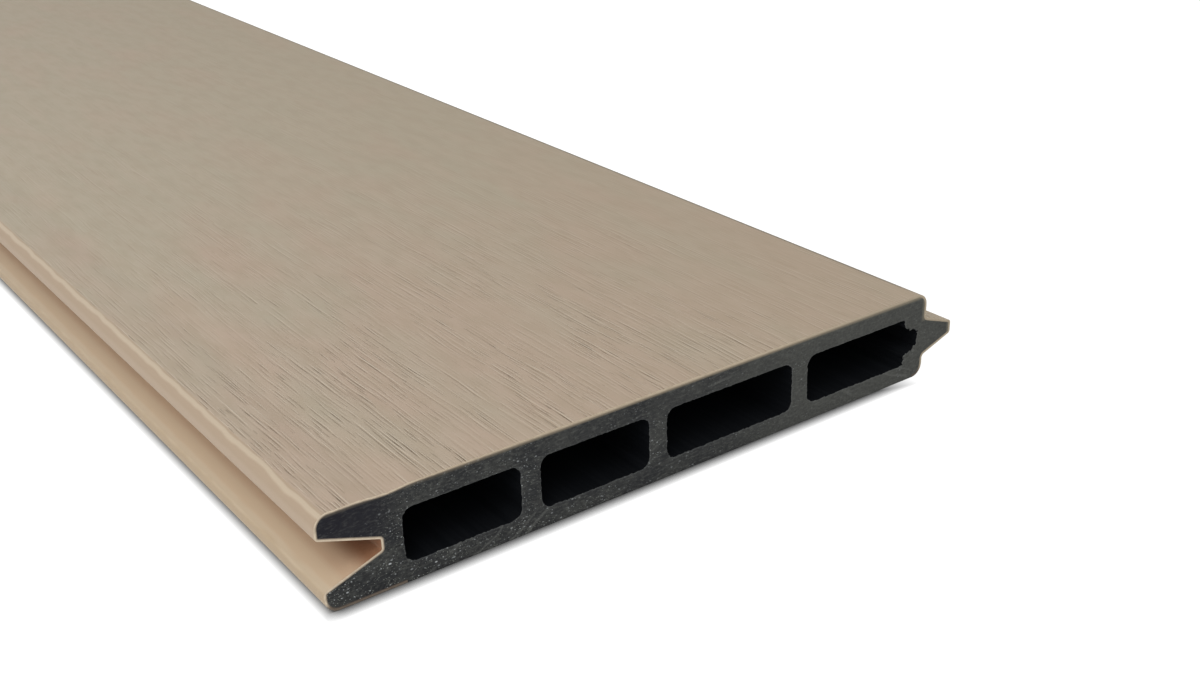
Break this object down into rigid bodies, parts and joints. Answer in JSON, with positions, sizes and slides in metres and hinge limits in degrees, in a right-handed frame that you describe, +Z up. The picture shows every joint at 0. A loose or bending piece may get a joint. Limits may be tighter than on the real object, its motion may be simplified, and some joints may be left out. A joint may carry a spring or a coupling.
{
  "type": "hollow composite board",
  "caption": "Hollow tongue-and-groove composite board with a dark extruded core and a wood-grained capping layer.",
  "frame": {"origin": "middle of the bounding box, on the plane the underside lies on", "axes": "X across the board from groove to tongue, Y along its length, Z up out of the capped face"},
  "size_m": [0.167, 1.83, 0.021],
  "materials": {
    "core": "saw-cut and extruded wood-plastic composite, charcoal with pale wood flour flecks",
    "cap": "matt light brown polymer skin, embossed with fine wood grain on the face"
  },
  "bodies": {
    "root": {"core": "core", "cap": "cap"}
  },
  "joints": []
}
